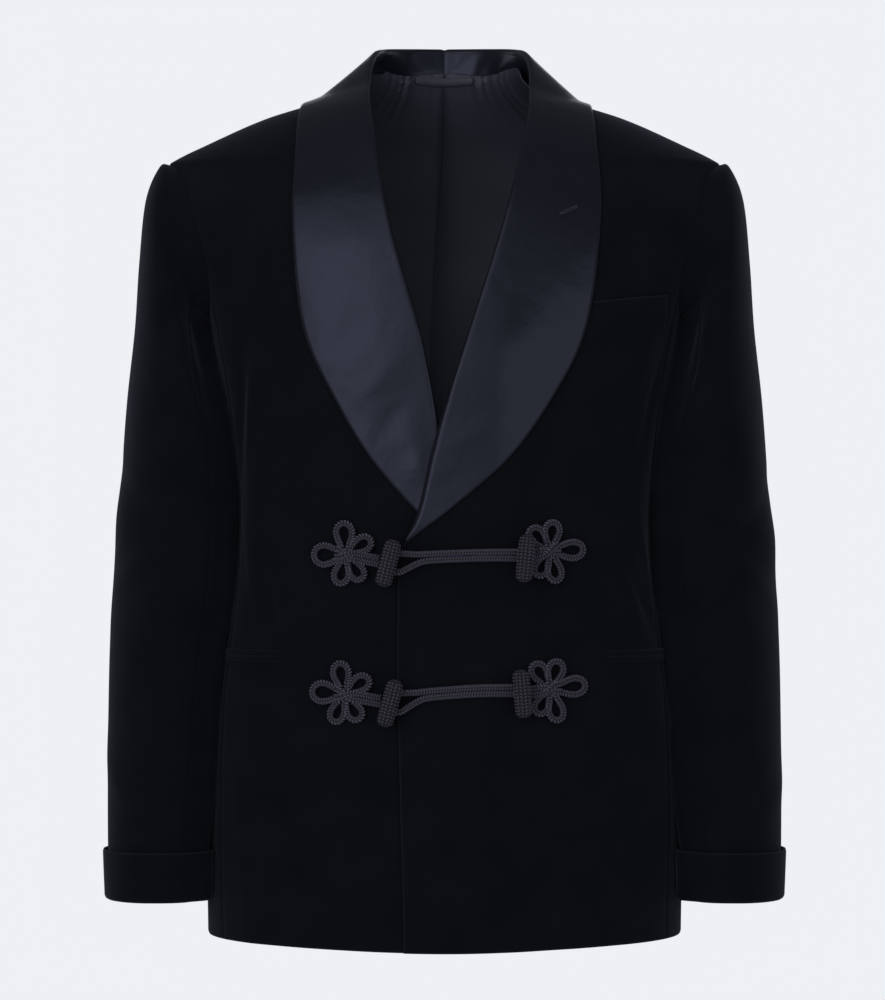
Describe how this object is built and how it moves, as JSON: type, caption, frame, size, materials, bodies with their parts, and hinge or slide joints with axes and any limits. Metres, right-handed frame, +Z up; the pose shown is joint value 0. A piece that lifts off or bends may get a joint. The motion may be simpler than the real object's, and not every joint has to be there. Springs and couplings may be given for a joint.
{
  "type": "double-breasted tuxedo jacket",
  "caption": "Velvet tuxedo jacket in its worn form, with a satin shawl collar, lapped front closed by corded frogs and toggles, turned-back cuffs and jetted pockets.",
  "frame": {"origin": "middle of the neck's base, where the wearer's shoulders hold the jacket", "axes": "+X towards the wearer's left, the front faces -Y, +Z up"},
  "size_m": [0.5688, 0.2641, 0.7532],
  "materials": {
    "velvet": "midnight cotton velvet with a short nap",
    "satin": "dark blue-black silk satin, smooth with a soft shine",
    "lining": "dark twill-woven lining with a faint shine",
    "braid": "plaited and knitted dark cord"
  },
  "bodies": {
    "root": {"front_left": "velvet", "front_right": "velvet", "side_left": "velvet", "side_right": "velvet", "back_left": "velvet", "back_right": "velvet", "lining_left": "lining", "lining_right": "lining", "sleeve_top_left": "velvet", "sleeve_top_right": "velvet", "sleeve_under_left": "velvet", "sleeve_under_right": "velvet", "cuff_left": "velvet", "cuff_right": "velvet", "collar_left": "satin", "collar_right": "satin", "collar_stand_left": "satin", "collar_stand_right": "satin", "hip_jet_upper_left": "velvet", "hip_jet_upper_right": "velvet", "hip_jet_lower_left": "velvet", "hip_jet_lower_right": "velvet", "breast_welt": "velvet", "frog_upper_right": "braid", "frog_upper_left": "braid", "frog_lower_right": "braid", "frog_lower_left": "braid", "frog_upper_right_toggle": "braid", "frog_upper_left_toggle": "braid", "frog_lower_right_toggle": "braid", "frog_lower_left_toggle": "braid", "frog_upper_loop": "braid", "frog_lower_loop": "braid", "hanger_loop": "lining"}
  },
  "joints": []
}
